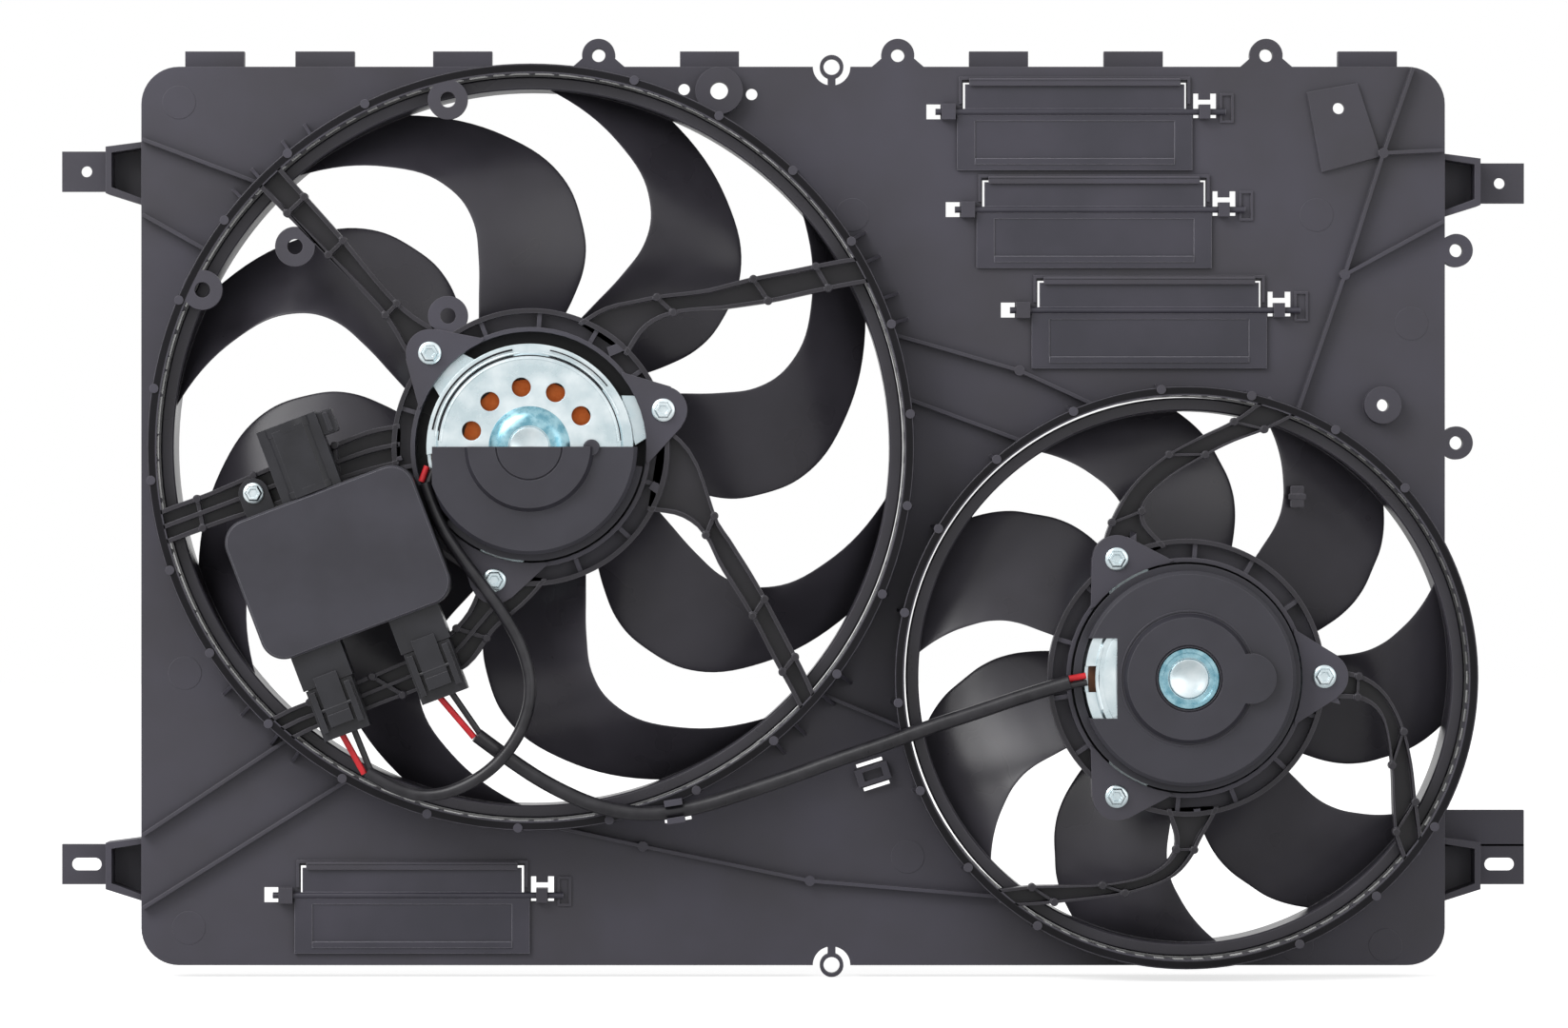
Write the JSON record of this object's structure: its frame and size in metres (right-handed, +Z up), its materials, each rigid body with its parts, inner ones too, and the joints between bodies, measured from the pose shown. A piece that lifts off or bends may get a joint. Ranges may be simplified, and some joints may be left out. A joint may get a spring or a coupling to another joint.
{
  "type": "radiator fan shroud",
  "caption": "Moulded radiator fan shroud with electric fans in barrel rings, a control module, motor leads and hinged relief flaps.",
  "frame": {"origin": "midway between the two upper mounting holes, on the radiator side of their brackets", "axes": "+X to the right as seen from the engine, +Y towards the radiator, +Z up"},
  "size_m": [0.745, 0.0908, 0.4752],
  "materials": {
    "shroud_plastic": "moulded glass-filled nylon with a fine satin grain",
    "fan_plastic": "moulded nylon, satin",
    "zinc_steel": "bright zinc-plated sheet steel",
    "cover_plastic": "moulded, smooth satin",
    "ferrite": "sintered ferrite, dull",
    "phenolic": "brown phenolic board",
    "carbon": "pressed copper graphite",
    "bronze": "sintered bronze, oiled",
    "shaft_steel": "ground steel",
    "core_steel": "stacked steel laminations",
    "copper": "enamelled copper wire and copper bars",
    "plug_plastic": "moulded, satin",
    "sleeve": "heat-shrunk sleeve, satin",
    "red_insulation": "wire insulation",
    "black_insulation": "wire insulation",
    "module_plastic": "moulded, satin",
    "circuit_board": "green solder mask",
    "tinned_contact": "tinned brass"
  },
  "bodies": {
    "shroud_assembly": {"shroud": "shroud_plastic", "large_motor_can": "zinc_steel", "large_motor_end_plate": "zinc_steel", "large_motor_screws": "zinc_steel", "large_motor_cover": "cover_plastic", "large_motor_magnets": "ferrite", "large_motor_brush_card": "phenolic", "large_motor_brushes": "carbon", "large_motor_bushes": "bronze", "large_motor_plug": "plug_plastic", "large_motor_lead": "sleeve", "large_motor_red_wire": "red_insulation", "large_motor_black_wire": "black_insulation", "small_motor_can": "zinc_steel", "small_motor_end_plate": "zinc_steel", "small_motor_screws": "zinc_steel", "small_motor_cover": "cover_plastic", "small_motor_magnets": "ferrite", "small_motor_brush_card": "phenolic", "small_motor_brushes": "carbon", "small_motor_bushes": "bronze", "small_motor_plug": "plug_plastic", "small_motor_lead": "sleeve", "small_motor_red_wire": "red_insulation", "small_motor_black_wire": "black_insulation", "control_module_housing": "module_plastic", "control_module_cover": "module_plastic", "control_module_board": "circuit_board", "control_module_pins": "tinned_contact", "control_module_screw": "zinc_steel"},
    "large_fan": {"large_fan": "fan_plastic", "large_fan_nut": "shaft_steel", "large_motor_shaft": "shaft_steel", "large_motor_armature": "core_steel", "large_motor_windings": "copper", "large_motor_commutator": "copper"},
    "small_fan": {"small_fan": "fan_plastic", "small_fan_nut": "shaft_steel", "small_motor_shaft": "shaft_steel", "small_motor_armature": "core_steel", "small_motor_windings": "copper", "small_motor_commutator": "copper"},
    "relief_flap_1": {"relief_flap_1": "shroud_plastic"},
    "relief_flap_2": {"relief_flap_2": "shroud_plastic"},
    "relief_flap_3": {"relief_flap_3": "shroud_plastic"},
    "relief_flap_4": {"relief_flap_4": "shroud_plastic"},
    "large_plug_latch": {"large_motor_plug_latch": "plug_plastic"},
    "small_plug_latch": {"small_motor_plug_latch": "plug_plastic"}
  },
  "joints": [
    {"name": "large_fan_spin", "type": "hinge", "parent": "shroud_assembly", "child": "large_fan", "pos_m": [-0.1315, -0.04, -0.138], "axis": [0, -1, 0], "continuous": true},
    {"name": "small_fan_spin", "type": "hinge", "parent": "shroud_assembly", "child": "small_fan", "pos_m": [0.197, -0.04, -0.2535], "axis": [0, -1, 0], "continuous": true},
    {"name": "relief_flap_1_hinge", "type": "hinge", "parent": "shroud_assembly", "child": "relief_flap_1", "pos_m": [0.1425, -0.0281, 0.032], "axis": [-1, 0, 0], "range_deg": [0, 60]},
    {"name": "relief_flap_2_hinge", "type": "hinge", "parent": "shroud_assembly", "child": "relief_flap_2", "pos_m": [0.1523, -0.0281, -0.0175], "axis": [-1, 0, 0], "range_deg": [0, 60]},
    {"name": "relief_flap_3_hinge", "type": "hinge", "parent": "shroud_assembly", "child": "relief_flap_3", "pos_m": [0.1802, -0.0281, -0.0684], "axis": [-1, 0, 0], "range_deg": [0, 60]},
    {"name": "relief_flap_4_hinge", "type": "hinge", "parent": "shroud_assembly", "child": "relief_flap_4", "pos_m": [-0.1928, -0.0281, -0.3645], "axis": [-1, 0, 0], "range_deg": [0, 60]},
    {"name": "large_plug_latch_press", "type": "hinge", "parent": "shroud_assembly", "child": "large_plug_latch", "pos_m": [-0.22721, -0.0879, -0.26718], "axis": [0.9354, 0, 0.3535], "range_deg": [0, 9], "stiffness_Nm_per_rad": 0.06, "springref_deg": -5.73},
    {"name": "small_plug_latch_press", "type": "hinge", "parent": "shroud_assembly", "child": "small_plug_latch", "pos_m": [-0.17857, -0.0879, -0.2488], "axis": [0.9354, 0, 0.3535], "range_deg": [0, 9], "stiffness_Nm_per_rad": 0.06, "springref_deg": -5.73}
  ]
}
